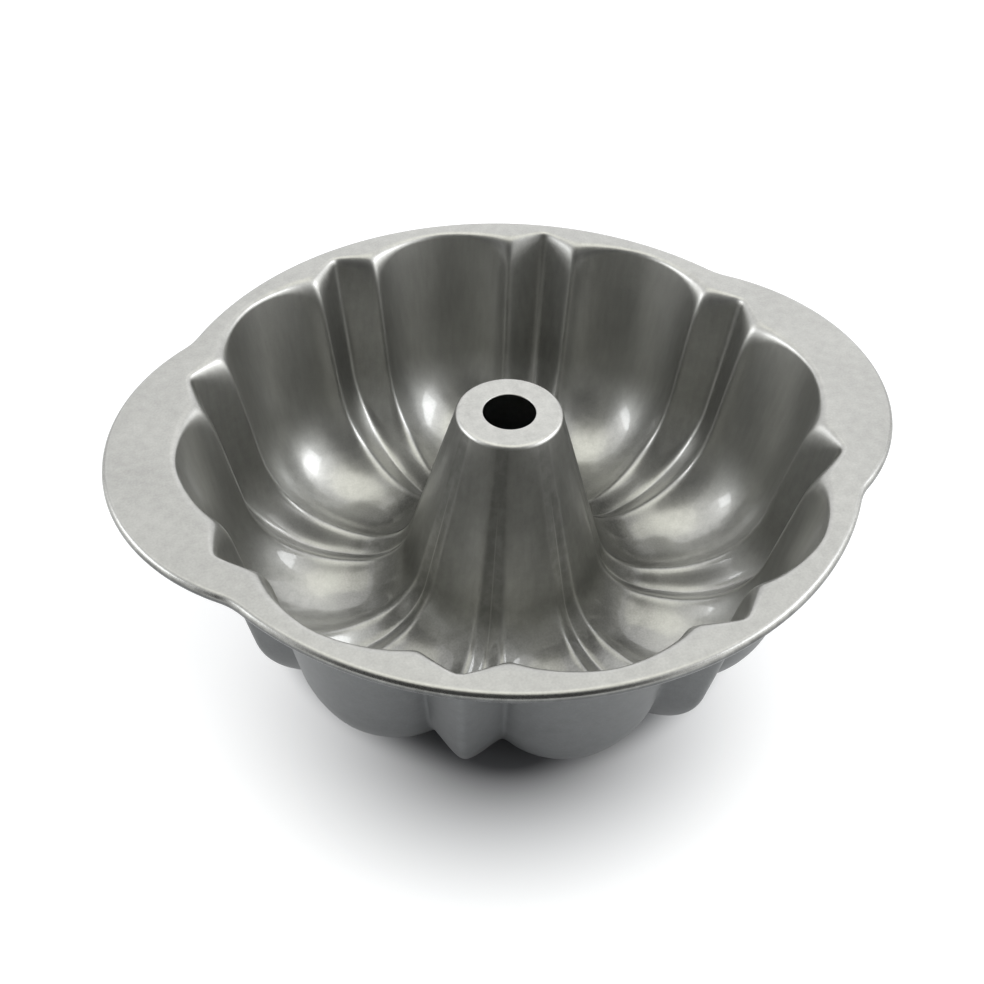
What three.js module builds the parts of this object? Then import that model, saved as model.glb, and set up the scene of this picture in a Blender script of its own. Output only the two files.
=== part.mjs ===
// Fluted tube pan: a steel ring mould for baking, pressed from coated sheet.
//
// Three pieces: the fluted body with its flat rim, two ears and rolled edge, the
// tapered tube in the middle, whose foot laps under the body, and the wire that
// the edge is rolled round. Millimetres, +Z up, origin on the table under the
// tube, +X through the middle of one ear.
import * as THREE from "three";

// Whole pan
const rimRadius = 127; // outside of the rolled edge, between the ears
const panHeight = 88; // table to the flat of the rim, which the tube's top is level with
const sheet = 0.8; // thickness of the steel

// Rolled edge and its wire
const curlRadius = 2;
const curlTurn = 280; // degrees that the sheet turns round the wire
const wireGap = 0.3; // left between the wire and the curl

// Ears
const earReach = 17; // from the rim's circle to the tip of an ear
const earRadius = 80; // rounding of the tip
const earFillet = 25; // hollow rounding where an ear leaves the rim's circle

// Flutes: a pointed groove and a round lobe in turn, with a ridge on each side
const fluteCount = 8;
const grooveHalfAngle = 7.5; // degrees from the bottom of a groove to a ridge
const lobePower = 1.65; // 2 makes a lobe half an ellipse, less makes its sides lean
const flangeWidth = 7.5; // rim outside a groove, to where the groove's wall would meet it
const ridgeInset = 10; // how much further in a ridge's wall would meet the rim
const ridgeHeight = 6.2; // a ridge above the lowest line of the floor
const padDepth = 0.8; // how far the feet of the lobes and grooves are pressed flat
const hollow = {
  mouthRadius: rimRadius - flangeWidth,
  wallDraft: 10, // degrees
  foldReach: 2, // rounding from the rim into the wall: over the rim
  foldDrop: 2, // and down the wall
  floorHeight: sheet - padDepth,
  floorFlat: 7, // level floor beside the tube
  rootRadius: 25, // rounding from the floor into the tube
  tubeDraft: 15.1, // degrees
};
const ridge = {
  mouthRadius: hollow.mouthRadius - ridgeInset,
  wallDraft: 10.5,
  foldReach: 6,
  foldDrop: 18,
  floorHeight: sheet + ridgeHeight,
  floorFlat: 1.7,
  rootRadius: 22,
  tubeDraft: 16.1,
};

// Tube
const tubeTopRadius = 19.4; // where the tube's side would meet its top with no rounding
const tubeEdgeRadius = 2;
const ventRadius = 9.7; // hole in the tube's top
const footLength = 6; // lap of the tube's foot under the body
const seamGap = 0.3; // left between the tube and the body all along their seam

// Facets
const grooveSteps = 2;
const lobeSteps = 4;
const curlSteps = 6;
const foldSteps = 3;
const wallSteps = 2;
const floorSteps = 5;
const rootSteps = 3;
const tubeSteps = 2;
const edgeSteps = 2;
const wireSides = 8;

const radians = THREE.MathUtils.degToRad;
const steel = { color: 0xa9a9a6, metalness: 1, roughness: 0.32 };

// Angles round the pan. Each turn carries depth, 0 on a ridge and 1 at the bottom of a
// groove or in the middle of a lobe: a groove is straight-sided, and a lobe is a rounded
// arch. It also carries fold, the same for the rounding at the rim: a ridge's wide fold
// narrows evenly down a groove's side and runs out at once on a lobe.
function turnsRoundPan() {
  const pitch = radians(360 / fluteCount);
  const grooveHalf = radians(grooveHalfAngle);
  const lobeHalf = pitch / 2 - grooveHalf;
  const half = [];
  for (let k = 0; k < grooveSteps; k++) {
    const depth = 1 - k / grooveSteps;
    half.push({ angle: (grooveHalf * k) / grooveSteps, depth, fold: depth });
  }
  for (let k = 0; k <= lobeSteps; k++) {
    const sweep = ((Math.PI / 2) * k) / lobeSteps;
    const across = 1 - Math.cos(sweep) ** (2 / lobePower);
    const depth = Math.sin(sweep) ** (2 / lobePower);
    half.push({ angle: grooveHalf + lobeHalf * across, depth, fold: Math.min(k, 1) });
  }
  const left = half.slice(1, -1).reverse().map((turn) => ({ ...turn, angle: -turn.angle }));
  const flute = [...left, ...half];
  const turns = [];
  for (let k = 0; k < fluteCount; k++) {
    const grooveAngle = (k + 0.5) * pitch;
    for (const turn of flute) turns.push({ ...turn, angle: grooveAngle + turn.angle });
  }
  return turns;
}

// Distance from the pan's axis to the outline of the rim: a circle with two round
// ears on X, and a hollow fillet on each side of an ear.
function outlineRadius(angle) {
  const towards = new THREE.Vector2(Math.abs(Math.cos(angle)), Math.abs(Math.sin(angle)));
  const earCentre = rimRadius + earReach - earRadius;
  const toFillet = rimRadius + earFillet;
  const fillet = new THREE.Vector2();
  fillet.x = (toFillet ** 2 - (earRadius + earFillet) ** 2 + earCentre ** 2) / (2 * earCentre);
  fillet.y = Math.sqrt(toFillet ** 2 - fillet.x ** 2);
  const onEar = fillet.clone().sub(new THREE.Vector2(earCentre, 0));
  onEar.setLength(earRadius).add(new THREE.Vector2(earCentre, 0));
  const here = Math.atan2(towards.y, towards.x);
  if (here >= fillet.angle()) return rimRadius;
  if (here >= onEar.angle()) {
    const along = fillet.dot(towards);
    return along - Math.sqrt(along ** 2 - fillet.lengthSq() + earFillet ** 2);
  }
  const along = earCentre * towards.x;
  return along + Math.sqrt(along ** 2 - earCentre ** 2 + earRadius ** 2);
}

// Points of an arc in the radius and height plane, from one angle in degrees to another.
function arc(centre, radius, from, to, steps) {
  const points = [];
  for (let k = 0; k <= steps; k++) {
    const angle = radians(from + ((to - from) * k) / steps);
    points.push(new THREE.Vector2(centre.x + radius * Math.cos(angle), centre.y + radius * Math.sin(angle)));
  }
  return points;
}

// Points between two others, without the ends.
function between(from, to, steps) {
  const points = [];
  for (let k = 1; k < steps; k++) points.push(from.clone().lerp(to, k / steps));
  return points;
}

// The sizes of the cross line at a turn: those of a ridge moved towards those of a hollow.
function lineAt(turn) {
  const line = {};
  for (const key of Object.keys(ridge)) {
    const share = key.startsWith("fold") ? turn.fold : turn.depth;
    line[key] = THREE.MathUtils.lerp(ridge[key], hollow[key], share);
  }
  return line;
}

// The side of the sheet that the cake touches, in the radius and height plane, from
// the rim down the wall, over the floor, up the tube and across its top to the hole.
// The arc into the floor touches the wall and the level floor, which sets its radius.
function crossLine(line) {
  const wallAngle = radians(line.wallDraft);
  const wallLean = Math.tan(wallAngle);
  const tubeLean = Math.tan(radians(line.tubeDraft));

  const mouth = new THREE.Vector2(line.mouthRadius, panHeight);
  const onRim = new THREE.Vector2(line.mouthRadius + line.foldReach, panHeight);
  const onWall = new THREE.Vector2(-Math.sin(wallAngle), -Math.cos(wallAngle));
  onWall.multiplyScalar(line.foldDrop).add(mouth);
  const fold = new THREE.QuadraticBezierCurve(onRim, mouth, onWall).getPoints(foldSteps);

  const rootCentre = new THREE.Vector2(0, line.floorHeight + line.rootRadius);
  const tubeFoot = rootCentre.y - line.rootRadius * Math.sin(radians(line.tubeDraft));
  rootCentre.x = tubeTopRadius + (panHeight - tubeFoot) * tubeLean;
  rootCentre.x += line.rootRadius * Math.cos(radians(line.tubeDraft));
  const root = arc(rootCentre, line.rootRadius, -90, line.tubeDraft - 180, rootSteps);

  const floorX = rootCentre.x + line.floorFlat;
  const room = line.mouthRadius - (panHeight - line.floorHeight) * wallLean - floorX;
  const floorRadius = room / (Math.cos(wallAngle) - (1 - Math.sin(wallAngle)) * wallLean);
  const floorCentre = new THREE.Vector2(floorX, line.floorHeight + floorRadius);
  const floor = arc(floorCentre, floorRadius, -line.wallDraft, -90, floorSteps);

  const edgeReach = tubeEdgeRadius * Math.tan(radians((90 - line.tubeDraft) / 2));
  const edgeCentre = new THREE.Vector2(tubeTopRadius - edgeReach, panHeight - tubeEdgeRadius);
  const edge = arc(edgeCentre, tubeEdgeRadius, line.tubeDraft, 90, edgeSteps);

  const wall = between(fold.at(-1), floor[0], wallSteps);
  const side = between(root.at(-1), edge[0], tubeSteps);
  const vent = new THREE.Vector2(ventRadius, panHeight);
  return [...fold, ...wall, ...floor, ...root, ...side, ...edge, vent];
}

const curlCount = curlSteps + 1;
const seamStation = curlCount + foldSteps + wallSteps + floorSteps + 1 + rootSteps; // where the tube begins

const turns = turnsRoundPan();
const outline = turns.map((turn) => {
  const radius = outlineRadius(turn.angle);
  return new THREE.Vector3(radius * Math.cos(turn.angle), radius * Math.sin(turn.angle), panHeight - curlRadius);
});
const up = new THREE.Vector3(0, 0, 1);

// Neighbour of an item in a list that closes on itself.
const around = (list, index) => list[(index + list.length) % list.length];

// Level direction out of the rim's outline.
function outlineNormal(index) {
  const along = around(outline, index + 1).clone().sub(around(outline, index - 1));
  return along.cross(up).normalize();
}

// A point of the rolled edge's round section at a distance from its centre.
function curlPoint(index, distance, angle) {
  const out = distance * Math.cos(angle) - curlRadius;
  const point = outline[index].clone().addScaledVector(outlineNormal(index), out);
  return point.addScaledVector(up, distance * Math.sin(angle));
}

// The top of the whole sheet: a row for each turn, from the end inside the rolled edge to the hole.
function sheetTop() {
  return turns.map((turn, index) => {
    const row = [];
    for (let k = 0; k <= curlSteps; k++) {
      row.push(curlPoint(index, curlRadius, radians(90 - curlTurn * (1 - k / curlSteps))));
    }
    for (const at of crossLine(lineAt(turn))) {
      const height = Math.max(at.y, sheet);
      row.push(new THREE.Vector3(at.x * Math.cos(turn.angle), at.x * Math.sin(turn.angle), height));
    }
    return row;
  });
}

const top = sheetTop();

// Direction into the sheet at each point of its top, long enough that the facets of
// the other side lie a true sheet's thickness away.
function intoSheet(index, station) {
  const here = top[index][station];
  const normals = [];
  for (const side of [-1, 1]) {
    for (const step of [-1, 1]) {
      const beside = around(top, index + side)[station].clone().sub(here);
      const ahead = top[index][station + step]?.clone().sub(here);
      if (ahead) normals.push(ahead.cross(beside).multiplyScalar(side * step).normalize());
    }
  }
  const middle = normals.reduce((sum, normal) => sum.add(normal), new THREE.Vector3()).normalize();
  const share = normals.reduce((sum, normal) => sum + normal.dot(middle), 0) / normals.length;
  return middle.divideScalar(share);
}

const into = top.map((row, index) => row.map((_, station) => intoSheet(index, station)));

// A point of the sheet at a whole or broken station and a depth under its top.
function inSheet(index, station, depth) {
  const before = Math.min(Math.floor(station), top[index].length - 2);
  const share = station - before;
  const point = top[index][before].clone().lerp(top[index][before + 1], share);
  const inward = into[index][before].clone().lerp(into[index][before + 1], share);
  point.addScaledVector(inward, depth);
  point.z = Math.max(point.z, 0);
  return point;
}

// Stations as whole numbers from one to another.
const stations = (from, to) => Array.from({ length: to - from + 1 }, (_, k) => from + k);

// A closed ring of one section carried round the pan: a loop of points for each turn.
// The loop's first points, overCount of them, run one way along the sheet and the rest
// come back under them, and the diagonals of both sides match, so the sides stay parallel.
function ring(loops, overCount) {
  const size = loops[0].length;
  const positions = loops.flat().flatMap((point) => point.toArray());
  const indices = [];
  loops.forEach((_, i) => {
    const here = i * size;
    const next = ((i + 1) % loops.length) * size;
    for (let j = 0; j < size; j++) {
      const k = (j + 1) % size;
      if (j < overCount) indices.push(here + j, next + j, next + k, here + j, next + k, here + k);
      else indices.push(here + j, next + j, here + k, next + j, next + k, here + k);
    }
  });
  const geometry = new THREE.BufferGeometry();
  geometry.setAttribute("position", new THREE.Float32BufferAttribute(positions, 3));
  geometry.setIndex(indices);
  geometry.computeVertexNormals();
  return geometry;
}

// Length of the sheet between two whole stations at the bottom of a groove.
const grooveTurn = turns.findIndex((turn) => turn.depth === 1);
const spanOf = (station) => top[grooveTurn][station].distanceTo(top[grooveTurn][station + 1]);

// Body: from the end of the curl to the seam, and back under the sheet.
function body() {
  const edge = seamStation - seamGap / spanOf(seamStation - 1);
  const path = [...stations(0, seamStation - 1), edge];
  const loops = turns.map((_, index) => {
    const over = path.map((station) => inSheet(index, station, 0));
    const under = path.map((station) => inSheet(index, station, sheet));
    return [...over, ...under.reverse()];
  });
  return ring(loops, path.length);
}

// Tube: a foot under the body, a step up at the seam, then flush with the body to the hole.
function tube() {
  const footEnd = seamStation - footLength / spanOf(seamStation - 1);
  const step = sheet / spanOf(seamStation);
  const lap = sheet + seamGap;
  const side = stations(seamStation + 1, top[0].length - 1);
  const overPath = [[footEnd, lap], [seamStation, lap], [seamStation, 0], ...side.map((at) => [at, 0])];
  const underPath = side.map((at) => [at, sheet]).reverse();
  underPath.push([seamStation + 2 * step, sheet], [seamStation + step, lap + sheet], [footEnd, lap + sheet]);
  const loops = turns.map((_, index) =>
    [...overPath, ...underPath].map(([station, depth]) => inSheet(index, station, depth)),
  );
  return ring(loops, overPath.length);
}

// Wire: round, down the middle of the rolled edge.
function wire() {
  const wireRadius = curlRadius - sheet - wireGap;
  const loops = turns.map((_, index) =>
    Array.from({ length: wireSides }, (_, k) => curlPoint(index, wireRadius, (2 * Math.PI * k) / wireSides)),
  );
  return ring(loops, wireSides);
}

function piece(name, geometry) {
  const mesh = new THREE.Mesh(geometry, new THREE.MeshStandardMaterial(steel));
  mesh.name = name;
  return mesh;
}

const pan = new THREE.Group();
pan.name = "fluted_tube_pan";
pan.add(piece("pan_body", body()));
pan.add(piece("centre_tube", tube()));
pan.add(piece("rim_wire", wire()));

export default pan;
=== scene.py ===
import bpy
import numpy as np
from mathutils import Matrix, Vector


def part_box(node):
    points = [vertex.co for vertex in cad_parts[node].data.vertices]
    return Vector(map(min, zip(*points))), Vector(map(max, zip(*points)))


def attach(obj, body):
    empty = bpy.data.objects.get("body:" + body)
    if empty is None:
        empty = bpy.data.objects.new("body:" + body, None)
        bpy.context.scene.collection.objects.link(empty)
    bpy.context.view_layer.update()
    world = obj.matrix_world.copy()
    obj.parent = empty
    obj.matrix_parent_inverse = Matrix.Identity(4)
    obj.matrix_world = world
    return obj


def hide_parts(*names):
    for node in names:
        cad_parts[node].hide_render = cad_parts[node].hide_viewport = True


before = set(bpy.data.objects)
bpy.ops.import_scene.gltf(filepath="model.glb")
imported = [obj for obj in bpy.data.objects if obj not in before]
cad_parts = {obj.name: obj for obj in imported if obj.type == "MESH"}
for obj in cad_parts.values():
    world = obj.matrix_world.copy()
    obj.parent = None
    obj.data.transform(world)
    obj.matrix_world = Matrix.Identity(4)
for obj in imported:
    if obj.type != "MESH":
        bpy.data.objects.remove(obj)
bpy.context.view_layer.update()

mm = 0.001
bodyHigh = np.array(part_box("pan_body")[1])
rimTop = bodyHigh[2]
rimRadius = bodyHigh[1]
earReach = bodyHigh[0] - rimRadius
print("frame: rim radius, ear and height in mm", np.round(np.array((rimRadius, earReach, rimTop)) / mm, 2))

# The sheet

sheetShape = dict(
    thickness=0.8 * mm,
    curlRadius=2.2 * mm,
    curlTurn=280,           # degrees that the edge turns round the wire
    beadFrom=(82, 55),      # degrees up from level where the edge starts to be smoother and to carry painted shade, and is most so
    finishEdge=(4, 20),     # degrees up from level where the outside's finish ends on the rolled edge
    wireGap=0.15 * mm,      # between the rolled edge and its wire
    sharpFrom=50,           # degrees between faces from which an edge isn't smoothed
    earRadius=80 * mm,      # rounding of an ear's tip
    earFillet=25 * mm,      # hollow rounding beside an ear
)
fluteShape = dict(
    count=8,
    grooveHalf=7.5,         # degrees from a groove's bottom to its ridge
    lobePower=1.65,         # 2 makes a lobe half an ellipse, less makes its sides lean
    softening=0.7,          # degrees over which the creases are eased on the wall
    tubeSoftening=1.7,      # and on the tube, where a degree is shorter
    softerRows=(-2, 16.2),  # rows of points past the wall where one starts to become the other, and is it
    cornerSoftening=1.6,    # the same for the corners that the ridges make at the rim
    cornerFrom=(6.5, 1.5),  # degrees before a ridge where a corner starts to be softer, and is softest
    lobeBlend=2,            # degrees on each side of a ridge over which a groove's numbers become a lobe's
    foldFade=2.0,           # power that makes a ridge's wide fold narrow sooner on a lobe than in a groove
    ridgeHeight=6.2 * mm,   # ridge above the lowest line of the floor
    padDepth=0.5 * mm,      # feet pressed flat by this much
    padEase=0.3 * mm,       # rounding at the border of a foot
    samplesPerFlute=64,
    crowding=5,             # points added at a crease for each point elsewhere
    crowdHalf=(0.9, 1.2),   # degrees over which they are added, at a groove's bottom and at a ridge
    angleSteps=4001,        # samples of the tables that angles and depths are read from
    depthSteps=1800,
)
grooveLine = dict(
    mouth=119.7 * mm,       # where the wall's line would meet the rim
    edge=121.4 * mm,        # where the flat of the rim ends and the fold begins
    draft=10,               # degrees that the wall leans
    downWall=1.7 * mm,      # how far the fold reaches down the wall
    flat=7 * mm,            # level floor beside the tube
    root=25 * mm,           # rounding between floor and tube
    tubeDraft=15.1,
)
lobeLine = dict(grooveLine, mouth=119.1 * mm, edge=121.2 * mm, downWall=2.1 * mm)
ridgeLine = dict(
    mouth=109.5 * mm,
    edge=115.2 * mm,
    draft=10.5,
    downWall=18 * mm,
    flat=1.7 * mm,
    root=22 * mm,
    tubeDraft=16.1,
)
tubeShape = dict(
    topRadius=19.4 * mm,
    edgeRadius=2.0 * mm,
    ventRadius=9.7 * mm,
    ventEdge=0.35 * mm,     # rounding of the hole's edge
    footLength=6 * mm,      # lap of the foot under the body
    lapGap=0.3 * mm,
    boreShine=0.8,          # share of the bright glaze at the top of the hole
    boreFrom=40 * mm,       # and the height at which it ends
)
steps = dict(               # rows of points along each stretch of the sheet, and round the wire
    curl=22, flange=5, fold=12, wall=9, floor=27, flat=3, root=18, side=14, edge=9, ring=6, vent=5, wire=12,
)


def turnAngles():
    # angles round the pan in radians: closer together at the creases, by inverting the running sum of a
    # density that has a bump on each groove bottom and on each ridge
    pitch = 360 / fluteShape["count"]
    fine = np.linspace(-pitch / 2, pitch / 2, fluteShape["angleSteps"])
    away = np.abs(fine)
    bottom, ridge = fluteShape["crowdHalf"]
    bumps = np.exp(-(away / bottom) ** 2) + np.exp(-((away - fluteShape["grooveHalf"]) / ridge) ** 2)
    density = 1 + fluteShape["crowding"] * bumps
    total = np.concatenate([[0], np.cumsum((density[1:] + density[:-1]) / 2)])
    wanted = np.linspace(0, total[-1], fluteShape["samplesPerFlute"], endpoint=False)
    oneFlute = np.interp(wanted, total, fine)
    grooves = (np.arange(fluteShape["count"]) + 0.5) * pitch
    return np.radians((grooves[:, None] + oneFlute[None, :]).ravel())


def fluteDepth(turn, softening):
    # 0 on a ridge, 1 at the bottom of a groove and in the middle of a lobe: straight sides in a groove, part
    # of a rounded arch across a lobe, then a bell-weighted running mean that eases the creases
    pitch = 360 / fluteShape["count"]
    half = fluteShape["grooveHalf"]
    power = fluteShape["lobePower"]
    table = np.linspace(-pitch / 2, pitch / 2, fluteShape["depthSteps"], endpoint=False)
    away = np.abs(table)
    across = np.clip((away - half) / (pitch / 2 - half), 0, 1)
    sharp = np.where(away < half, 1 - away / half, (1 - (1 - across) ** power) ** (1 / power))
    waves = np.fft.rfftfreq(table.size, table[1] - table[0])
    soft = np.fft.irfft(np.fft.rfft(sharp) * np.exp(-2 * (np.pi * waves * softening) ** 2), table.size)
    fromGroove = np.degrees(turn) - pitch / 2
    return np.interp(fromGroove, table, soft, period=pitch)


def ramp(value, start, stop):
    # 0 before start, 1 after stop, with an even S-shaped rise between them; stop may be the smaller one
    share = np.clip((value - start) / (stop - start), 0, 1)
    return share * share * (3 - 2 * share)


def outlineRadius(turn):
    # distance from the axis to the rim's outline: a circle, a round ear on +X and on -X, and between them a
    # hollow arc that touches both
    towardX, towardY = np.abs(np.cos(turn)), np.abs(np.sin(turn))
    earRadius, fillet = sheetShape["earRadius"], sheetShape["earFillet"]
    earCentre = rimRadius + earReach - earRadius
    reach = rimRadius + fillet
    filletX = (reach ** 2 - (earRadius + fillet) ** 2 + earCentre ** 2) / (2 * earCentre)
    filletY = np.sqrt(reach ** 2 - filletX ** 2)
    share = earRadius / (earRadius + fillet)
    earEnd = np.arctan2(filletY * share, earCentre + (filletX - earCentre) * share)
    here = np.arctan2(towardY, towardX)
    alongEar = earCentre * towardX
    ear = alongEar + np.sqrt(np.maximum(alongEar ** 2 - earCentre ** 2 + earRadius ** 2, 0))
    alongFillet = filletX * towardX + filletY * towardY
    hollow = alongFillet - np.sqrt(np.maximum(alongFillet ** 2 - reach ** 2 + fillet ** 2, 0))
    return np.where(here < earEnd, ear, np.where(here < np.arctan2(filletY, filletX), hollow, rimRadius))


def arc(centreX, centreZ, radius, start, stop, count):
    # points of a circle in the plane of radius and height, between two angles in degrees, a row for each turn
    angle = np.radians(start + (stop - start) * np.linspace(0, 1, count)[None])
    across, height = centreX + radius * np.cos(angle), centreZ + radius * np.sin(angle)
    return np.stack(np.broadcast_arrays(across, height), 2)


def between(start, stop, count):
    # points of a straight line, without its two ends
    share = np.linspace(0, 1, count + 2)[1:-1, None]
    return start[:, None] + (stop - start)[:, None] * share


def lineShape(turn, softening):
    # the numbers of the cross line at each angle: those of the ridge moved towards those of the groove or the
    # lobe by the depth of the flutes; the ridge's wide fold narrows evenly with it down a groove's side and
    # by a power of it, so sooner, on a lobe; the rim's edge rounds the ridges' corners but not the grooves'
    pitch, half = 360 / fluteShape["count"], fluteShape["grooveHalf"]
    away = np.abs((np.degrees(turn) % pitch) - pitch / 2)[:, None]
    depth = fluteDepth(turn, softening)[:, None]
    nearLobe = ramp(away, half - fluteShape["lobeBlend"], half + fluteShape["lobeBlend"])
    narrow = 1 - (1 - np.clip(depth, 0, 1)) ** (1 + (fluteShape["foldFade"] - 1) * nearLobe)
    rounded = fluteDepth(turn, fluteShape["cornerSoftening"])[:, None]
    corner = depth + (rounded - depth) * ramp(half - away, *fluteShape["cornerFrom"])
    shares = dict(edge=corner, downWall=narrow)
    lowest = sheetShape["thickness"] - fluteShape["padDepth"]
    highest = sheetShape["thickness"] + fluteShape["ridgeHeight"]
    shape = dict(floor=highest + (lowest - highest) * depth)
    for key in grooveLine:
        hollow = grooveLine[key] + (lobeLine[key] - grooveLine[key]) * nearLobe
        shape[key] = ridgeLine[key] + (hollow - ridgeLine[key]) * shares.get(key, depth)
    return shape


def crossLine(line):
    # the side that the cake touches, in radius and height: a fold from the rim, the leaning wall, an arc into
    # the floor, an arc out of it, the leaning tube, its rounded edge, the flat ring and the edge of the hole
    wallAngle, tubeAngle = np.radians(line["draft"]), np.radians(line["tubeDraft"])
    share = np.linspace(0, 1, steps["fold"])[None]
    overRim, downWall = (line["edge"] - line["mouth"]) * (1 - share) ** 2, line["downWall"] * share ** 2
    foldX = line["mouth"] + overRim - downWall * np.sin(wallAngle)
    fold = np.stack([foldX, rimTop - downWall * np.cos(wallAngle)], 2)

    rootZ = line["floor"] + line["root"]
    tubeFoot = rootZ - line["root"] * np.sin(tubeAngle)
    tubeRadius = tubeShape["topRadius"] + (rimTop - tubeFoot) * np.tan(tubeAngle)
    rootX = tubeRadius + line["root"] * np.cos(tubeAngle)
    root = arc(rootX, rootZ, line["root"], -90, line["tubeDraft"] - 180, steps["root"])

    floorX = rootX + line["flat"]
    room = line["mouth"] - (rimTop - line["floor"]) * np.tan(wallAngle) - floorX
    floorRadius = room / (np.cos(wallAngle) - (1 - np.sin(wallAngle)) * np.tan(wallAngle))
    floor = arc(floorX, line["floor"] + floorRadius, floorRadius, -line["draft"], -90, steps["floor"])

    edgeRadius = tubeShape["edgeRadius"]
    edgeX = tubeShape["topRadius"] - edgeRadius * np.tan((np.pi / 2 - tubeAngle) / 2)
    edge = arc(edgeX, rimTop - edgeRadius, edgeRadius, line["tubeDraft"], 90, steps["edge"])
    ventX, ventZ = tubeShape["ventRadius"] + tubeShape["ventEdge"], rimTop - tubeShape["ventEdge"]
    vent = arc(np.full_like(rootX, ventX), ventZ, tubeShape["ventEdge"], 90, 180, steps["vent"])

    wall = between(fold[:, -1], floor[:, 0], steps["wall"])
    flat = between(floor[:, -1], root[:, 0], steps["flat"])
    side = between(root[:, -1], edge[:, 0], steps["side"])
    ring = between(edge[:, -1], vent[:, 0], steps["ring"])
    return np.concatenate([fold, wall, floor, flat, root, side, edge, ring, vent], 1)


def roundPan(radius, height, turn):
    # points at a radius and a height, carried to each angle round the pan
    turn = turn[:, None]
    return np.stack([radius * np.cos(turn), radius * np.sin(turn), np.broadcast_to(height, radius.shape)], 2)


def outlineFrame(turn):
    # points of the rim's outline and the level direction out of it, square to the line between neighbours
    radius = outlineRadius(turn)
    points = np.stack([radius * np.cos(turn), radius * np.sin(turn)], 1)
    along = np.roll(points, -1, 0) - np.roll(points, 1, 0)
    out = np.stack([along[:, 1], -along[:, 0]], 1)
    return points, out / np.linalg.norm(out, axis=1, keepdims=True)


def rolledEdge(turn, distance, angles):
    # round section of the rolled edge: its centre lies one curl radius in from the outline and under the rim
    points, out = outlineFrame(turn)
    reach = distance * np.cos(angles) - sheetShape["curlRadius"]
    level = points[:, None, :] + out[:, None, :] * reach[None, :, None]
    height = rimTop - sheetShape["curlRadius"] + distance * np.sin(angles)
    return np.concatenate([level, np.broadcast_to(height[None, :, None], level.shape[:2] + (1,))], 2)


def sheetTop(turn):
    # the upper side of the whole sheet, one row for each angle: the rolled edge, the flat rim, then the cross
    # line, softer towards the tube, eased to stay above the plane of the pressed feet
    crisp, soft = (crossLine(lineShape(turn, fluteShape[key])) for key in ("softening", "tubeSoftening"))
    pastWall = np.arange(crisp.shape[1]) - steps["fold"] - steps["wall"]
    softer = ramp(pastWall, *fluteShape["softerRows"])
    line = crisp + (soft - crisp) * softer[:, None]
    over = line[:, :, 1] - sheetShape["thickness"]
    height = sheetShape["thickness"] + (over + np.sqrt(over ** 2 + fluteShape["padEase"] ** 2)) / 2
    fluted = roundPan(line[:, :, 0], np.minimum(height, rimTop), turn)
    angles = np.radians(np.linspace(90 - sheetShape["curlTurn"], 90, steps["curl"]))
    curl = rolledEdge(turn, sheetShape["curlRadius"], angles)
    share = np.linspace(0, 1, steps["flange"] + 2)[1:-1]
    flange = curl[:, -1:] + (fluted[:, :1] - curl[:, -1:]) * share[None, :, None]
    return np.concatenate([curl, flange, fluted], 1)


def aroundStep(grid):
    # half the way from the point before to the point after, round the pan
    return (np.roll(grid, -1, 0) - np.roll(grid, 1, 0)) / 2


def intoSheet(top):
    # unit direction from the upper side into the metal: the cross product of the steps along and round
    into = np.cross(np.gradient(top, axis=1), aroundStep(top))
    return into / np.linalg.norm(into, axis=2, keepdims=True)


def sharpness(top, into):
    # 1 on edges that stand out and 0 elsewhere, from how fast the outward direction swings along the sheet or
    # round it for each metre gone, and the same for edges that stand out on the underside
    along = np.gradient(top, axis=1), np.gradient(into, axis=1)
    around = aroundStep(top), aroundStep(into)
    bend = np.stack([-(step * swing).sum(2) / (step * step).sum(2) for step, swing in (along, around)])
    return ramp(bend.max(0), *wearAndPaintedLight["edgeBend"]), ramp(-bend.min(0), *wearAndPaintedLight["edgeBend"])


def ringMesh(name, grid, marks):
    # a mesh that closes on itself both ways: a quad between each point and its next ones round and along;
    # marks are numbers for its finish, one for each point
    turns, size = grid.shape[:2]
    index = np.arange(turns * size).reshape(turns, size)
    nextTurn, nextAlong = np.roll(index, -1, 0), np.roll(index, -1, 1)
    quads = np.stack([index, nextTurn, np.roll(nextTurn, -1, 1), nextAlong], 2).reshape(-1, 4)
    mesh = bpy.data.meshes.new(name)
    mesh.vertices.add(index.size)
    mesh.vertices.foreach_set("co", grid.reshape(-1).astype(np.float32))
    mesh.loops.add(quads.size)
    mesh.loops.foreach_set("vertex_index", quads.reshape(-1).astype(np.int32))
    mesh.polygons.add(len(quads))
    mesh.polygons.foreach_set("loop_start", np.arange(0, quads.size, 4, dtype=np.int32))
    mesh.update(calc_edges=True)
    mesh.validate()
    mesh.shade_smooth()
    mesh.set_sharp_from_angle(angle=np.radians(sheetShape["sharpFrom"]))
    for mark, values in marks.items():
        layer = mesh.attributes.new(mark, "FLOAT", "POINT")
        layer.data.foreach_set("value", values.reshape(-1).astype(np.float32))
    piece = bpy.data.objects.new(name, mesh)
    bpy.context.scene.collection.objects.link(piece)
    return piece


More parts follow.
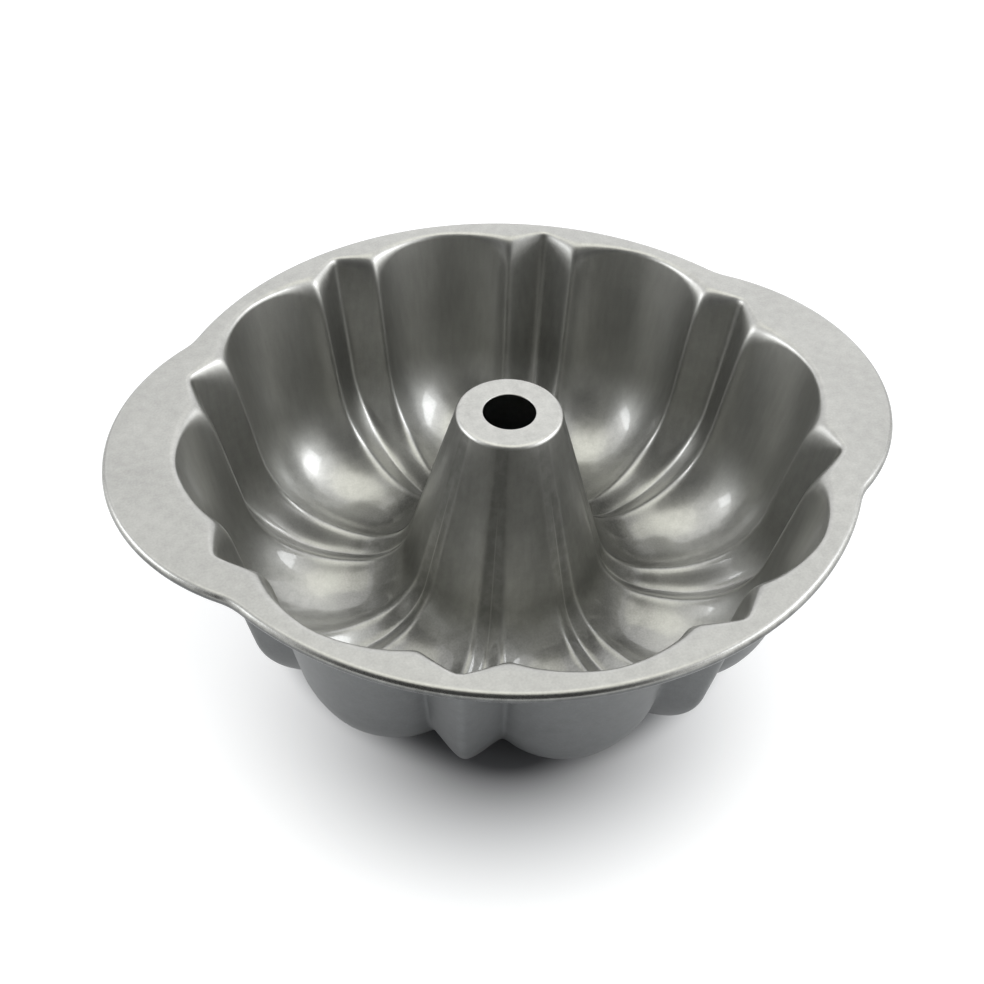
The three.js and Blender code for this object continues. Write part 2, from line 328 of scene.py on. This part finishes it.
turn = turnAngles()
top = sheetTop(turn)
into = intoSheet(top)
wearAndPaintedLight = dict(                # how much brighter than plain glaze each part is, and where: real wear on rubbed edges, painted light and shade elsewhere
    edge=0.12,              # rubbed edges that stand out
    edgeBend=(120, 420),    # bend, per metre, at which an edge starts to wear and is worn most
    ridge=-0.25,            # painted shade along the ridges of the wall, dimming their highlight
    ridgeFrom=(80 * mm, 95 * mm),       # from the axis
    ridgeDown=(5 * mm, 14 * mm),        # below the rim
    bead=-0.5,              # painted shade on the rolled edge
    crease=0.4,             # painted highlight: a line along the bottom of a groove
    creaseHalf=0.3,         # degrees
    creaseDown=(16 * mm, 42 * mm),      # below the rim where the line begins, and is full
    floor=0.2,              # painted highlight on the floors of the lobes
    floorTurn=4,            # degrees from a ridge to where the floor's painted highlight is strongest
    floorFrom=(58 * mm, 74 * mm),       # from the axis
    floorDown=(20 * mm, 40 * mm),       # below the rim
    floorLevel=(0.5, 0.85),             # upward part of the direction that the sheet faces
    groove=-0.15,           # painted shade on the sides of the grooves
    grooveTurn=2.5,         # degrees from a ridge to where they are darkest
    tube=-0.14,             # painted shade on the tube too
    tubeWithin=(50 * mm, 40 * mm),      # from the axis
    foot=-0.5,              # and darkest of all, painted shade in the ring round its foot
    footRow=4,              # rows of points past the floor, and the ring's half width
    footWidth=9,
    ring=0.14,              # painted highlight on the flat top ring, which the pan stands on when it is turned over
    ringDown=(1 * mm, 0),   # below the rim
    ringLevel=(0.7, 1),     # upward part of the direction that the sheet faces
    steepFrom=(0.8, 0.35),  # the same where the sheet starts to be steep, and is
)
crest, underCrest = sharpness(top, into)
steep = ramp(-into[:, :, 2], *wearAndPaintedLight["steepFrom"])
thick = sheetShape["thickness"]
floorEnd = sum(steps[part] for part in ("curl", "flange", "fold", "wall", "floor", "flat"))
seam = floorEnd + steps["root"] - 1


def paintedLightTones():
    # painted light and shade on the inside, as how much brighter than plain glaze it is: a painted highlight
    # along the bottoms of the grooves, from a bell over the angle away from them, and on the lobes' floors;
    # painted shade on the ridges, the sides of the grooves and the tube, and a dark ring of it from a bell
    # over the rows near the tube's foot
    pitch, half = 360 / fluteShape["count"], fluteShape["grooveHalf"]
    away = (np.degrees(turn) % pitch - pitch / 2)[:, None]
    radius, down = np.hypot(top[:, :, 0], top[:, :, 1]), rimTop - top[:, :, 2]
    # painted highlight along the bottom of each groove
    line = np.exp(-(away / wearAndPaintedLight["creaseHalf"]) ** 2) * ramp(down, *wearAndPaintedLight["creaseDown"])
    # painted highlight on the lobes' floors
    floor = ramp(np.abs(away), half, half + wearAndPaintedLight["floorTurn"]) * ramp(radius, *wearAndPaintedLight["floorFrom"])
    floor = floor * ramp(-into[:, :, 2], *wearAndPaintedLight["floorLevel"]) * ramp(down, *wearAndPaintedLight["floorDown"])
    # painted shade: a dark ring in the hollow where the floor meets the tube
    foot = np.exp(-((np.arange(top.shape[1]) + 1 - floorEnd - wearAndPaintedLight["footRow"]) / wearAndPaintedLight["footWidth"]) ** 2)
    # painted shade on the sides of the grooves
    groove = (1 - ramp(np.abs(away), half - wearAndPaintedLight["grooveTurn"], half)) * steep
    tube = steep * ramp(radius, *wearAndPaintedLight["tubeWithin"])
    # painted shade: darkens the ridges of the wall
    ridge = steep * crest * ramp(radius, *wearAndPaintedLight["ridgeFrom"]) * ramp(down, *wearAndPaintedLight["ridgeDown"])
    paintedTones = wearAndPaintedLight["crease"] * line + wearAndPaintedLight["floor"] * floor + wearAndPaintedLight["ridge"] * ridge
    return paintedTones + wearAndPaintedLight["groove"] * groove + wearAndPaintedLight["tube"] * tube + wearAndPaintedLight["foot"] * foot


paintedTones = paintedLightTones()


def makePanBody():
    # the sheet from the end of the rolled edge to the seam, and its underside one thickness away
    body = slice(0, seam + 1)
    over = top[:, body]
    under = over + into[:, body] * thick
    under[:, :, 2] = np.maximum(under[:, :, 2], 0)
    rolled = np.degrees(np.arcsin(np.clip(-into[:, body, 2], -1, 1)))
    onEdge = np.arange(seam + 1) < steps["curl"]
    # the rolled edge's mask, for its smoother roughness and its painted shade
    bead = np.where(onEdge, ramp(rolled, *sheetShape["beadFrom"]), 0)
    outside = np.where(onEdge, 1 - ramp(rolled, *sheetShape["finishEdge"]), 0)
    marks = dict(
        steep=np.concatenate([steep[:, body], np.zeros(under.shape[:2])], 1),
        outside=np.concatenate([outside, np.ones(under.shape[:2])], 1),
        bead=np.concatenate([bead, np.zeros(under.shape[:2])], 1),
        wornAndPaintedTone=np.concatenate([
            wearAndPaintedLight["edge"] * crest[:, body] + paintedTones[:, body] + wearAndPaintedLight["bead"] * bead,
            wearAndPaintedLight["edge"] * underCrest[:, body][:, ::-1],
        ], 1),
    )
    return ringMesh("panBody", np.concatenate([over, under[:, ::-1]], 1), marks)


def makeCentreTube():
    # the sheet from the seam to the hole, with a foot that steps under the body
    lap = thick + tubeShape["lapGap"]
    rootStep = np.linalg.norm(top[0, seam] - top[0, seam - 1])
    footRows = int(np.ceil(tubeShape["footLength"] / rootStep))
    foot = slice(seam - footRows, seam + 1)
    over = np.concatenate([top[:, foot] + into[:, foot] * lap, top[:, seam:]], 1)
    underFoot = top[:, foot] + into[:, foot] * (lap + thick)
    under = np.concatenate([underFoot, (top + into * thick)[:, seam + 1:]], 1)
    # painted highlight: the flat ring that faces up is lighter
    flat = ramp(-into[:, :, 2], *wearAndPaintedLight["ringLevel"]) * ramp(rimTop - top[:, :, 2], *wearAndPaintedLight["ringDown"])
    dark = 1 - tubeShape["boreShine"] * ramp(under[:, ::-1, 2], tubeShape["boreFrom"], rimTop)
    overWearAndPaintedLight = wearAndPaintedLight["edge"] * crest + wearAndPaintedLight["ring"] * flat + paintedTones
    marks = dict(
        steep=np.concatenate([steep[:, foot], steep[:, seam:], np.zeros(under.shape[:2])], 1),
        outside=np.concatenate([np.zeros(over.shape[:2]), dark], 1),
        wornAndPaintedTone=np.concatenate([overWearAndPaintedLight[:, foot], overWearAndPaintedLight[:, seam:], np.zeros(under.shape[:2])], 1),
    )
    return ringMesh("centreTube", np.concatenate([over, under[:, ::-1]], 1), marks)


def makeRimWire():
    # a round wire down the middle of the rolled edge
    wireRadius = sheetShape["curlRadius"] - thick - sheetShape["wireGap"]
    angles = np.linspace(0, 2 * np.pi, steps["wire"], endpoint=False)
    return ringMesh("rimWire", rolledEdge(turn, wireRadius, angles), {})


# Finishes

def ramped(tree, value, edge, low, high, kind="SMOOTHSTEP"):
    # a step, smooth or straight, from low to high as a value crosses an edge
    step = tree.nodes.new("ShaderNodeMapRange")
    step.interpolation_type = kind
    for name, number in zip(("From Min", "From Max", "To Min", "To Max"), (*edge, low, high)):
        step.inputs[name].default_value = number
    tree.links.new(value, step.inputs["Value"])
    return step.outputs["Result"]


def combined(tree, operation, first, second):
    node = tree.nodes.new("ShaderNodeMath")
    node.operation = operation
    tree.links.new(first, node.inputs[0])
    tree.links.new(second, node.inputs[1])
    return node.outputs[0]


def noise(tree, where, size, detail):
    node = tree.nodes.new("ShaderNodeTexNoise")
    node.inputs["Scale"].default_value = 1 / size
    node.inputs["Detail"].default_value = detail
    tree.links.new(where, node.inputs["Vector"])
    return node.outputs["Fac"]


def varied(tree, middle, parts):
    # a middle value plus, for each pattern, its distance from a half times its weight
    total = middle - sum(weight for pattern, weight in parts) / 2
    for pattern, weight in parts:
        node = tree.nodes.new("ShaderNodeMath")
        node.operation = "MULTIPLY_ADD"
        tree.links.new(pattern, node.inputs[0])
        node.inputs[1].default_value = weight
        if isinstance(total, float):
            node.inputs[2].default_value = total
        else:
            tree.links.new(total, node.inputs[2])
        total = node.outputs[0]
    return total


def mixed(tree, share, first, second):
    # a colour between two, each a fixed colour or a node's output
    node = tree.nodes.new("ShaderNodeMix")
    node.data_type = "RGBA"
    tree.links.new(share, node.inputs["Factor"])
    for socket, colour in zip(("A_Color", "B_Color"), (first, second)):
        target = next(slot for slot in node.inputs if slot.identifier == socket)
        if isinstance(colour, tuple):
            target.default_value = colour
        else:
            tree.links.new(colour, target)
    return next(slot for slot in node.outputs if slot.identifier == "Result_Color")


def weighed(patterns, weights):
    # the patterns that have a weight, each with it
    return [(patterns[name], weight) for name, weight in weights.items()]


def attribute(tree, name):
    node = tree.nodes.new("ShaderNodeAttribute")
    node.attribute_name = name
    return node.outputs["Fac"]


glaze = dict(
    inside=(0.42, 0.42, 0.404, 1),      # silvery glaze that the cake touches
    steep=(0.355, 0.355, 0.338, 1),     # painted shade: the same, darker where the sheet is steep
    outside=(0.142, 0.147, 0.149, 1),   # darker, cooler and duller glaze of the outside
    outsideMetal=0.85,
    cloudSize=30 * mm,      # broad patches of tone
    mottleSize=4 * mm,      # uneven spray
    speckSize=0.8 * mm,     # grain of the glaze
    streakSize=(2.2 * mm, 30 * mm),     # streaks down the steep parts, across and along
    sprayed=dict(cloud=0.25, mottle=0.34, speck=0.32),      # how much each changes the tone of level parts,
    streaked=dict(cloud=0.25, streak=0.24, speck=0.12),     # of steep parts,
    uneven=dict(cloud=0.04, mottle=0.03, speck=0.03),       # the roughness
    peel=dict(mottle=1.0, speck=0.3),   # and the orange peel
    patchy=(0.3, 0.6),      # mottle where the wear and the painted light and shade are weakest, and full
    leastMarkedShare=0.6,
    roughness=0.42,
    beadRoughness=0.27,     # the rolled edge, smoothed by rolling
    coat=(1.0, 0.15),       # clear top of the glaze, on level parts and on steep ones
    coatRoughness=0.05,
    coatBend=1.65,          # its index of refraction
    peelHeight=0.02 * mm,   # height of the orange peel
    peelStrength=0.6,
)


def glazedSteel():
    mat = bpy.data.materials.new("glazedSteel")
    mat.use_nodes = True
    tree = mat.node_tree
    shader = tree.nodes["Principled BSDF"]
    where = tree.nodes.new("ShaderNodeTexCoord").outputs["Object"]
    across, along = glaze["streakSize"]
    drawn = tree.nodes.new("ShaderNodeVectorMath")
    drawn.operation = "MULTIPLY"
    drawn.inputs[1].default_value = (1, 1, across / along)
    tree.links.new(where, drawn.inputs[0])
    patterns = dict(
        cloud=noise(tree, where, glaze["cloudSize"], detail=3),
        mottle=noise(tree, where, glaze["mottleSize"], detail=4),
        speck=noise(tree, where, glaze["speckSize"], detail=2),
        streak=noise(tree, drawn.outputs[0], across, detail=2),
    )
    marks = ("steep", "outside", "bead", "wornAndPaintedTone")
    steepness, outside, bead, wornAndPaintedTone = (attribute(tree, mark) for mark in marks)

    # the glaze's colour, times one plus the grain and the wear with its painted light and shade
    # painted shade: the glaze's colour is darker where the sheet is steep
    inner = mixed(tree, steepness, glaze["inside"], glaze["steep"])
    grain = ramped(tree, steepness, (0, 1), 0, 0)
    for key, socket in dict(sprayed="To Min", streaked="To Max").items():
        tree.links.new(varied(tree, 0.0, weighed(patterns, glaze[key])), grain.node.inputs[socket])
    patchy = ramped(tree, patterns["mottle"], glaze["patchy"], glaze["leastMarkedShare"], 1)
    wornAndPaintedShare = combined(tree, "MULTIPLY", wornAndPaintedTone, patchy)
    tone = tree.nodes.new("ShaderNodeVectorMath")
    tone.operation = "SCALE"
    tree.links.new(mixed(tree, outside, inner, glaze["outside"]), tone.inputs[0])
    tree.links.new(varied(tree, 2.0, [(grain, 1.0), (wornAndPaintedShare, 1.0)]), tone.inputs["Scale"])
    tree.links.new(tone.outputs[0], shader.inputs["Base Color"])

    smoother = glaze["beadRoughness"] - glaze["roughness"]
    uneven = weighed(patterns, glaze["uneven"]) + [(bead, smoother)]
    tree.links.new(varied(tree, glaze["roughness"] + smoother / 2, uneven), shader.inputs["Roughness"])
    bump = tree.nodes.new("ShaderNodeBump")
    bump.inputs["Strength"].default_value = glaze["peelStrength"]
    bump.inputs["Distance"].default_value = glaze["peelHeight"]
    tree.links.new(varied(tree, 0.0, weighed(patterns, glaze["peel"])), bump.inputs["Height"])
    tree.links.new(bump.outputs["Normal"], shader.inputs["Normal"])
    tree.links.new(ramped(tree, outside, (0, 1), 1, glaze["outsideMetal"]), shader.inputs["Metallic"])
    clear = ramped(tree, combined(tree, "MAXIMUM", outside, bead), (0, 1), 1, 0)
    coat = combined(tree, "MULTIPLY", ramped(tree, steepness, (0, 1), *glaze["coat"]), clear)
    tree.links.new(coat, shader.inputs["Coat Weight"])
    shader.inputs["Coat Roughness"].default_value = glaze["coatRoughness"]
    shader.inputs["Coat IOR"].default_value = glaze["coatBend"]
    return mat


wireSteel = dict(
    dark=(0.36, 0.36, 0.36, 1),
    light=(0.5, 0.49, 0.48, 1),
    scaleSize=1.5 * mm,     # patches of mill scale
    roughness=0.45,
    uneven=0.2,
)


def plainSteel():
    mat = bpy.data.materials.new("plainSteel")
    mat.use_nodes = True
    tree = mat.node_tree
    shader = tree.nodes["Principled BSDF"]
    where = tree.nodes.new("ShaderNodeTexCoord").outputs["Object"]
    scale = noise(tree, where, wireSteel["scaleSize"], detail=4)
    tree.links.new(mixed(tree, scale, wireSteel["dark"], wireSteel["light"]), shader.inputs["Base Color"])
    rough = varied(tree, wireSteel["roughness"], [(scale, wireSteel["uneven"])])
    tree.links.new(rough, shader.inputs["Roughness"])
    shader.inputs["Metallic"].default_value = 1
    return mat


pieces = {"pan_body": makePanBody(), "centre_tube": makeCentreTube(), "rim_wire": makeRimWire()}
finishes = {"glazed_steel": glazedSteel(), "plain_steel": plainSteel()}
for node, piece in pieces.items():
    slot = "plain_steel" if node == "rim_wire" else "glazed_steel"
    piece.data.materials.append(finishes[slot])
    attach(piece, "root")
    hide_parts(node)
    print("piece", piece.name, len(piece.data.vertices), "points")

# Camera

camera = dict(
    turn=-16.06,            # degrees round the pan from straight in front
    rise=44.28,             # degrees above the table
    roll=1.95,
    distance=450.945 * mm,  # from the middle of the rim
    right=-6.343 * mm,      # place of the middle of the view, from the middle of the rim
    up=-29.213 * mm,
    focalPixels=1243.854,
    framePixels=984,
    clipStart=10 * mm,
)


def makeCamera():
    around, rise, roll = (np.radians(camera[key]) for key in ("turn", "rise", "roll"))
    back = Vector((np.sin(around) * np.cos(rise), -np.cos(around) * np.cos(rise), np.sin(rise)))
    level = Vector((np.cos(around), np.sin(around), 0))
    tall = back.cross(level)
    right = level * np.cos(roll) + tall * np.sin(roll)
    up = tall * np.cos(roll) - level * np.sin(roll)
    place = Vector((0, 0, rimTop)) + right * camera["right"] + up * camera["up"] + back * camera["distance"]
    lens = bpy.data.cameras.new("camera")
    lens.lens = lens.sensor_width * camera["focalPixels"] / camera["framePixels"]
    lens.clip_start = camera["clipStart"]
    eye = bpy.data.objects.new("camera", lens)
    eye.matrix_world = Matrix.Translation(place) @ Matrix((right, up, back)).transposed().to_4x4()
    bpy.context.scene.collection.objects.link(eye)
    bpy.context.scene.camera = eye


makeCamera()
print("camera:", camera["rise"], "degrees above the table,", camera["distance"], "m away")

# Table and light

studio = dict(
    table=(0.54, 0.55, 0.56, 1),
    tableHalf=6.0,          # metres
    tableGlow=0.66,         # added to what the camera and the metal see of the table
    footEdge=(85 * mm, 100 * mm),       # no glow under the pan, full glow outside
    shade=(0.135, 0.137, 0.143, 1),     # painted shadow: the table's colour before the pan, which has no glow either
    shadeScale=(0.89, 1, 1),            # the shade is wider than it is deep
    shadePlace=(-15 * mm, -71 * mm, 0),
    shadeEdge=(20 * mm, 113 * mm),      # from the middle of the shade to where it begins to fade, and is gone
    lampColour=(0.94, 0.97, 1),
    lampAim=(0, 0, 50 * mm),
    lampDistance=1.0,       # metres
    lamps=dict(             # turn from +Y towards +X and rise in degrees, width and height in metres, watts
        right=(108, 38, 0.62, 0.36, 2.0),
        left=(-79, 28, 0.5, 0.32, 1.65),
    ),
    aboveColour=(1, 1, 0.925, 1),       # warmer light from above
    surround=1.05,          # light from all round, and then patches of it, brighter or darker:
    patches=dict(           # turn, rise, inner and outer half angle in degrees, strength
        above=(0, 90, 27, 32, 1.7),
        back=(24, 35, 12, 28, 1.28),
        darkSide=(202, 26, 38, 54, 0.1),
        rightScreen=(108, 12, 22, 42, 2.3),
        leftScreen=(284, 10, 18, 36, 2.2),
    ),
)


def distanceFrom(tree, vector, place):
    node = tree.nodes.new("ShaderNodeVectorMath")
    node.operation = "DISTANCE"
    tree.links.new(vector, node.inputs[0])
    node.inputs[1].default_value = place
    return node.outputs["Value"]


def makeTable():
    mesh = bpy.data.meshes.new("table")
    half = studio["tableHalf"]
    corners = [(-half, -half, 0), (half, -half, 0), (half, half, 0), (-half, half, 0)]
    mesh.from_pydata(corners, [], [(0, 1, 2, 3)])
    table = bpy.data.objects.new("table", mesh)
    bpy.context.scene.collection.objects.link(table)
    mat = bpy.data.materials.new("tableWhite")
    mat.use_nodes = True
    tree = mat.node_tree
    tree.nodes.clear()
    where = tree.nodes.new("ShaderNodeTexCoord").outputs["Object"]
    path = tree.nodes.new("ShaderNodeLightPath")
    seen = combined(tree, "MAXIMUM", path.outputs["Is Camera Ray"], path.outputs["Is Glossy Ray"])
    seen = combined(tree, "MAXIMUM", seen, path.outputs["Is Transmission Ray"])
    outside = ramped(tree, distanceFrom(tree, where, (0, 0, 0)), studio["footEdge"], 0, studio["tableGlow"])
    # the glow comes back from the middle of the shade outwards, fast at first: share times two less share
    narrowed = tree.nodes.new("ShaderNodeVectorMath")
    narrowed.operation = "MULTIPLY"
    narrowed.inputs[1].default_value = studio["shadeScale"]
    tree.links.new(where, narrowed.inputs[0])
    away = distanceFrom(tree, narrowed.outputs[0], studio["shadePlace"])
    away = ramped(tree, away, studio["shadeEdge"], 0, 1, "LINEAR")
    clear = combined(tree, "MULTIPLY", away, ramped(tree, away, (0, 1), 2, 1, "LINEAR"))
    light = tree.nodes.new("ShaderNodeEmission")
    glow = combined(tree, "MULTIPLY", combined(tree, "MULTIPLY", outside, clear), seen)
    tree.links.new(glow, light.inputs["Strength"])
    plain = tree.nodes.new("ShaderNodeBsdfDiffuse")
    # painted shadow: the table's colour darkens towards the middle of the shade
    tree.links.new(mixed(tree, clear, studio["shade"], studio["table"]), plain.inputs["Color"])
    both = tree.nodes.new("ShaderNodeAddShader")
    tree.links.new(plain.outputs[0], both.inputs[0])
    tree.links.new(light.outputs[0], both.inputs[1])
    tree.links.new(both.outputs[0], tree.nodes.new("ShaderNodeOutputMaterial").inputs["Surface"])
    mesh.materials.append(mat)


def toward(turn, rise):
    # unit direction from the pan, at a turn from +Y towards +X and a rise above the table, in degrees
    turn, rise = np.radians((turn, rise))
    return Vector((np.sin(turn) * np.cos(rise), np.cos(turn) * np.cos(rise), np.sin(rise)))


def makeLamps():
    for name, (turn, rise, width, height, power) in studio["lamps"].items():
        lamp = bpy.data.lights.new(name, "AREA")
        lamp.shape = "RECTANGLE"
        lamp.size, lamp.size_y = width, height
        lamp.energy = power
        lamp.color = studio["lampColour"]
        holder = bpy.data.objects.new(name, lamp)
        holder.location = toward(turn, rise) * studio["lampDistance"]
        aim = Vector(studio["lampAim"]) - holder.location
        holder.rotation_euler = aim.to_track_quat("-Z", "Y").to_euler()
        bpy.context.scene.collection.objects.link(holder)


def makeWorld():
    # even light from all round, and round patches with soft borders, by the angle from the middle of each
    world = bpy.data.worlds.new("studio")
    world.use_nodes = True
    tree = world.node_tree
    where = tree.nodes.new("ShaderNodeTexCoord").outputs["Generated"]
    level = None
    for name, (turn, rise, inner, outer, strength) in studio["patches"].items():
        facing = tree.nodes.new("ShaderNodeVectorMath")
        facing.operation = "DOT_PRODUCT"
        facing.inputs[1].default_value = toward(turn, rise)
        tree.links.new(where, facing.inputs[0])
        edge = np.cos(np.radians((outer, inner)))
        patch = ramped(tree, facing.outputs["Value"], edge, studio["surround"], strength)
        if level:
            tree.links.new(level, patch.node.inputs["To Min"])
        level = patch
        if name == "above":
            fromAbove = ramped(tree, facing.outputs["Value"], edge, 0, 1)
    tree.links.new(level, tree.nodes["Background"].inputs["Strength"])
    colour = mixed(tree, fromAbove, (1, 1, 1, 1), studio["aboveColour"])
    tree.links.new(colour, tree.nodes["Background"].inputs["Color"])
    bpy.context.scene.world = world


makeTable()
makeWorld()
makeLamps()
bpy.context.scene.view_settings.view_transform = "Standard"
print("studio: table,", len(studio["patches"]), "patches of light,", len(studio["lamps"]), "lamps")
